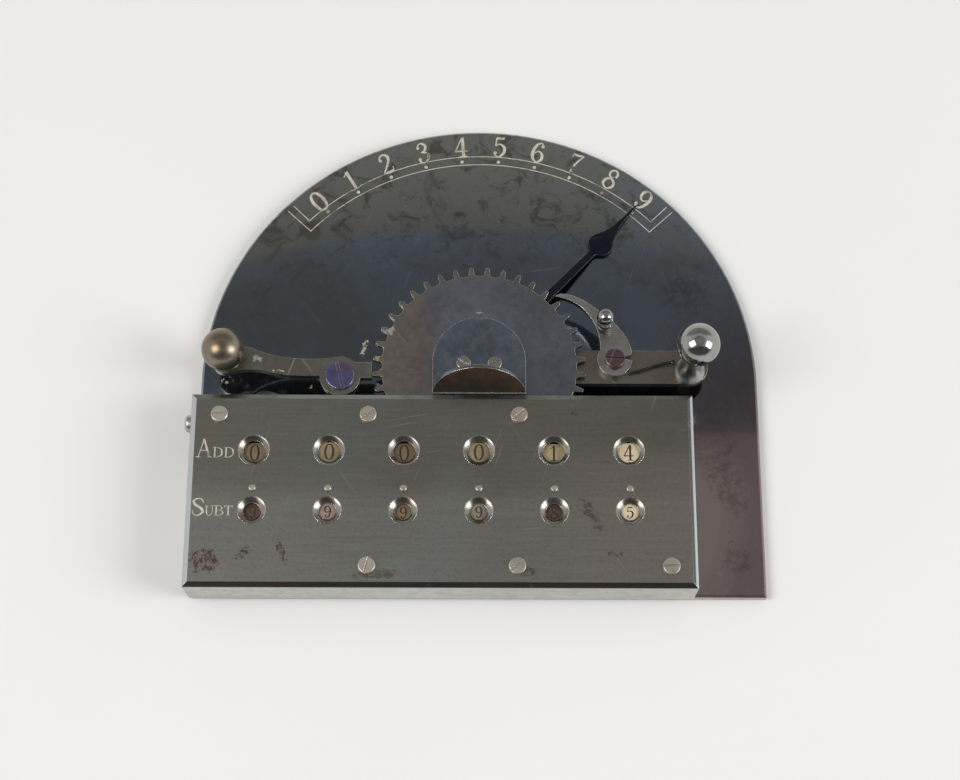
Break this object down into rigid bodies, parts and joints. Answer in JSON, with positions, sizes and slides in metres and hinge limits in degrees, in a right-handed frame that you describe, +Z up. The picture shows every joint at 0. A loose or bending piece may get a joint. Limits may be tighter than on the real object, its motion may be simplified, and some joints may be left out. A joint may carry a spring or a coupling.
{
  "type": "hand adding machine",
  "caption": "Arched steel base with a toothed drive wheel, a set lever with pawl and pointer over a 0 to 9 scale, and a sliding register box with rows of number windows.",
  "frame": {"origin": "underside of the base plate, directly under the axis of the drive wheel", "axes": "+X along the register from its left end to its right end, +Y from the front edge to the arched back, +Z up"},
  "size_m": [0.1359, 0.1196, 0.0336],
  "materials": {
    "plate_steel": "polished dark oxide, worn",
    "wheel_steel": "polished dark oxide with straw and purple tints",
    "register_steel": "satin gunmetal, patchy rust stains",
    "lever_steel": "bare steel, brown tarnish",
    "polished_steel": "mirror polished",
    "bright_steel": "bright turned steel",
    "screw_steel": "bare steel, scratched",
    "blued_steel": "heat blued",
    "spring_steel": "dark tempered",
    "dial_silvered": "silvered brass, yellowed",
    "works_brass": "turned brass"
  },
  "bodies": {
    "base": {"base_plate": "plate_steel", "centre_post": "bright_steel", "lever_stop_pin": "bright_steel", "guide_rail": "bright_steel", "guide_rail_screws": "screw_steel", "hold_lever_post": "bright_steel", "hold_lever_screw": "blued_steel", "hold_spring": "spring_steel", "hold_spring_pin": "bright_steel"},
    "saddle": {"saddle_block": "bright_steel", "hinge_rod": "bright_steel"},
    "carriage": {"carriage_cover": "register_steel", "carriage_front_wall": "register_steel", "carriage_left_end": "register_steel", "carriage_right_end": "register_steel", "carriage_floor": "register_steel", "carriage_back_rail": "register_steel", "cover_pillars": "bright_steel", "cover_screws": "screw_steel", "detent_springs": "spring_steel", "detent_blocks": "works_brass"},
    "drive_wheel_body": {"drive_wheel": "wheel_steel", "wheel_boss": "bright_steel", "thumb_plate": "wheel_steel", "thumb_plate_screws": "screw_steel"},
    "set_lever": {"lever_arm": "lever_steel", "pointer": "blued_steel", "pointer_rivets": "bright_steel", "lever_knob": "polished_steel", "pawl_screw": "screw_steel", "pawl_spring": "spring_steel", "pawl_spring_pin": "bright_steel"},
    "drive_pawl_body": {"drive_pawl": "lever_steel", "drive_pawl_knob": "polished_steel"},
    "hold_lever_body": {"hold_lever": "lever_steel", "hold_lever_knob": "lever_steel"},
    "number_wheel_1": {"arbor_1": "bright_steel", "number_disc_1": "dial_silvered", "star_wheel_1": "works_brass"},
    "number_wheel_2": {"arbor_2": "bright_steel", "number_disc_2": "dial_silvered", "star_wheel_2": "works_brass"},
    "number_wheel_3": {"arbor_3": "bright_steel", "number_disc_3": "dial_silvered", "star_wheel_3": "works_brass"},
    "number_wheel_4": {"arbor_4": "bright_steel", "number_disc_4": "dial_silvered", "star_wheel_4": "works_brass"},
    "number_wheel_5": {"arbor_5": "bright_steel", "number_disc_5": "dial_silvered", "star_wheel_5": "works_brass"},
    "number_wheel_6": {"arbor_6": "bright_steel", "number_disc_6": "dial_silvered", "star_wheel_6": "works_brass"}
  },
  "joints": [
    {"name": "carriage_slide", "type": "slide", "parent": "base", "child": "saddle", "axis": [1, 0, 0], "range_m": [-0.0519, 0.0519]},
    {"name": "carriage_lift", "type": "hinge", "parent": "saddle", "child": "carriage", "pos_m": [0, -0.013, 0.0072], "axis": [-1, 0, 0], "range_deg": [0, 10]},
    {"name": "drive_wheel_spin", "type": "hinge", "parent": "base", "child": "drive_wheel_body", "pos_m": [0, 0, 0.011], "axis": [0, 0, 1], "continuous": true},
    {"name": "set_lever_swing", "type": "hinge", "parent": "base", "child": "set_lever", "pos_m": [0, 0, 0.009], "axis": [0, 0, 1], "range_deg": [0, 81]},
    {"name": "drive_pawl_lift", "type": "hinge", "parent": "set_lever", "child": "drive_pawl_body", "pos_m": [0.032, 0.0019, 0.011], "axis": [0, 0, 1], "range_deg": [-18, 3], "stiffness_Nm_per_rad": 0.005},
    {"name": "hold_lever_swing", "type": "hinge", "parent": "base", "child": "hold_lever_body", "pos_m": [-0.03275, -0.0024, 0.0106], "axis": [0, 0, 1], "range_deg": [0, 8], "stiffness_Nm_per_rad": 0.02, "deforming": ["hold_spring"]},
    {"name": "number_wheel_1_spin", "type": "hinge", "parent": "carriage", "child": "number_wheel_1", "pos_m": [-0.0519, -0.0306, 0.009], "axis": [0, 0, 1], "continuous": true},
    {"name": "number_wheel_2_spin", "type": "hinge", "parent": "carriage", "child": "number_wheel_2", "pos_m": [-0.0346, -0.0306, 0.009], "axis": [0, 0, 1], "continuous": true},
    {"name": "number_wheel_3_spin", "type": "hinge", "parent": "carriage", "child": "number_wheel_3", "pos_m": [-0.0173, -0.0306, 0.009], "axis": [0, 0, 1], "continuous": true},
    {"name": "number_wheel_4_spin", "type": "hinge", "parent": "carriage", "child": "number_wheel_4", "pos_m": [0, -0.0306, 0.009], "axis": [0, 0, 1], "continuous": true},
    {"name": "number_wheel_5_spin", "type": "hinge", "parent": "carriage", "child": "number_wheel_5", "pos_m": [0.0173, -0.0306, 0.009], "axis": [0, 0, 1], "continuous": true},
    {"name": "number_wheel_6_spin", "type": "hinge", "parent": "carriage", "child": "number_wheel_6", "pos_m": [0.0346, -0.0306, 0.009], "axis": [0, 0, 1], "continuous": true}
  ],
  "couplings": [
    {"joint": "number_wheel_4_spin", "follows": "drive_wheel_spin", "ratio": -4}
  ]
}
